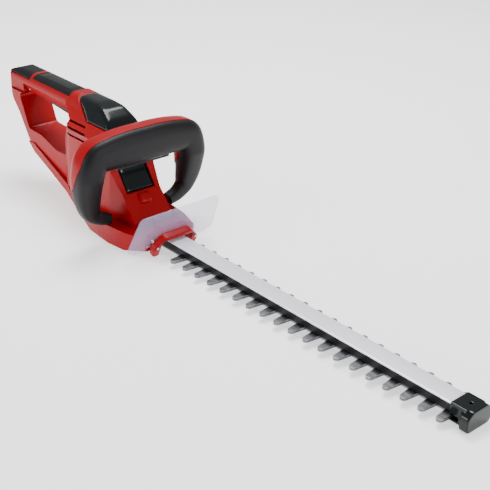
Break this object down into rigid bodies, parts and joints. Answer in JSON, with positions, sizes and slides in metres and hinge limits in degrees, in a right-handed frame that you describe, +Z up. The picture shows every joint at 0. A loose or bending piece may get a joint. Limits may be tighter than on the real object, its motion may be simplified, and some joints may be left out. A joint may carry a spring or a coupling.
{
  "type": "hedge trimmer",
  "caption": "Electric hedge trimmer with two counter-moving toothed blades, a clear hand guard, a loop front handle with a switch bar, and a D-shaped rear handle with a trigger.",
  "frame": {"origin": "under the middle of the overall length and width, on the resting face", "axes": "+X forward along the blades, +Y to the tool's left, +Z up"},
  "size_m": [0.8624, 0.2034, 0.166],
  "materials": {
    "red_shell": "moulded nylon with a slight sheen",
    "soft_black": "soft-touch overmoulding",
    "black_plastic": "moulded, matt",
    "gloss_black": "moulded, glossy",
    "clear_guard": "clear polycarbonate",
    "blade_steel": "ground and punched",
    "steel": "plated or ground",
    "core_steel": "stacked laminations",
    "aluminium": "satin extrusion",
    "cast_alloy": "die cast",
    "copper": "enamelled wire and bars",
    "bronze": "sintered",
    "carbon": "pressed carbon",
    "white_plastic": "moulded acetal",
    "yellow_plastic": "potted box"
  },
  "bodies": {
    "tool": {"housing_right": "red_shell", "housing_left": "red_shell", "housing_screws": "steel", "top_cover": "gloss_black", "rear_grip_cap": "soft_black", "rear_grip_pad": "soft_black", "front_handle_rear_shell": "red_shell", "front_handle_front_shell": "soft_black", "front_handle_screws": "steel", "front_switch": "black_plastic", "front_switch_springs": "steel", "trigger_pin": "steel", "rear_switch": "black_plastic", "hand_guard": "clear_guard", "guard_retainer": "red_shell", "guard_screws": "steel", "bottom_plate": "black_plastic", "bottom_screws": "steel", "gear_case": "cast_alloy", "gear_case_lid": "cast_alloy", "lid_screws": "steel", "stator_core": "core_steel", "field_windings": "copper", "brush_holders": "bronze", "carbon_brushes": "carbon", "lower_bearing": "steel", "upper_bearing": "steel", "axle_bushes": "bronze", "guide_channel": "black_plastic", "blade_cover": "aluminium", "blade_bolts": "steel", "blade_nuts": "steel", "tip_guard": "gloss_black", "tip_screw": "steel", "cord_bush": "black_plastic", "cord_clamp": "black_plastic", "cord_clamp_screws": "steel", "suppressor": "yellow_plastic"},
    "rotor": {"motor_shaft": "steel", "armature_core": "core_steel", "armature_windings": "copper", "commutator": "copper", "cooling_fan": "black_plastic", "pinion": "steel"},
    "gear": {"drive_gear": "steel", "gear_axle": "steel", "upper_cam": "steel", "lower_cam": "steel"},
    "upper_blade": {"upper_blade": "blade_steel"},
    "lower_blade": {"lower_blade": "blade_steel"},
    "trigger": {"rear_trigger": "black_plastic", "trigger_spring": "steel"},
    "rear_plunger": {"rear_switch_plunger": "white_plastic"},
    "front_bar": {"front_switch_bar": "black_plastic"},
    "front_plunger": {"front_switch_plunger": "white_plastic"}
  },
  "joints": [
    {"name": "rotor_spin", "type": "hinge", "parent": "tool", "child": "rotor", "pos_m": [-0.1935, 0, 0.08], "axis": [0, 0, 1], "continuous": true},
    {"name": "gear_spin", "type": "hinge", "parent": "tool", "child": "gear", "pos_m": [-0.1615, 0, 0.0175], "axis": [0, 0, 1], "continuous": true},
    {"name": "upper_blade_slide", "type": "slide", "parent": "tool", "child": "upper_blade", "axis": [1, 0, 0], "range_m": [-0.006, 0.006]},
    {"name": "lower_blade_slide", "type": "slide", "parent": "tool", "child": "lower_blade", "axis": [1, 0, 0], "range_m": [-0.006, 0.006]},
    {"name": "trigger_pivot", "type": "hinge", "parent": "tool", "child": "trigger", "pos_m": [-0.3775, 0, 0.141], "axis": [0, -1, 0], "range_deg": [0, 3.5], "stiffness_Nm_per_rad": 3, "springref_deg": -11.46},
    {"name": "rear_plunger_slide", "type": "slide", "parent": "tool", "child": "rear_plunger", "axis": [0, 0, 1], "range_m": [0, 0.0016]},
    {"name": "front_bar_slide", "type": "slide", "parent": "tool", "child": "front_bar", "axis": [0, 0, 1], "range_m": [0, 0.003], "stiffness_N_per_m": 400, "springref_m": -0.004},
    {"name": "front_plunger_slide", "type": "slide", "parent": "tool", "child": "front_plunger", "axis": [0, 0, 1], "range_m": [0, 0.003]}
  ],
  "couplings": [
    {"joint": "gear_spin", "follows": "rotor_spin", "ratio": -0.18518},
    {"joint": "lower_blade_slide", "follows": "upper_blade_slide", "ratio": -1},
    {"joint": "rear_plunger_slide", "follows": "trigger_pivot", "m_per_rad": 0.024},
    {"joint": "front_plunger_slide", "follows": "front_bar_slide", "ratio": 1}
  ]
}
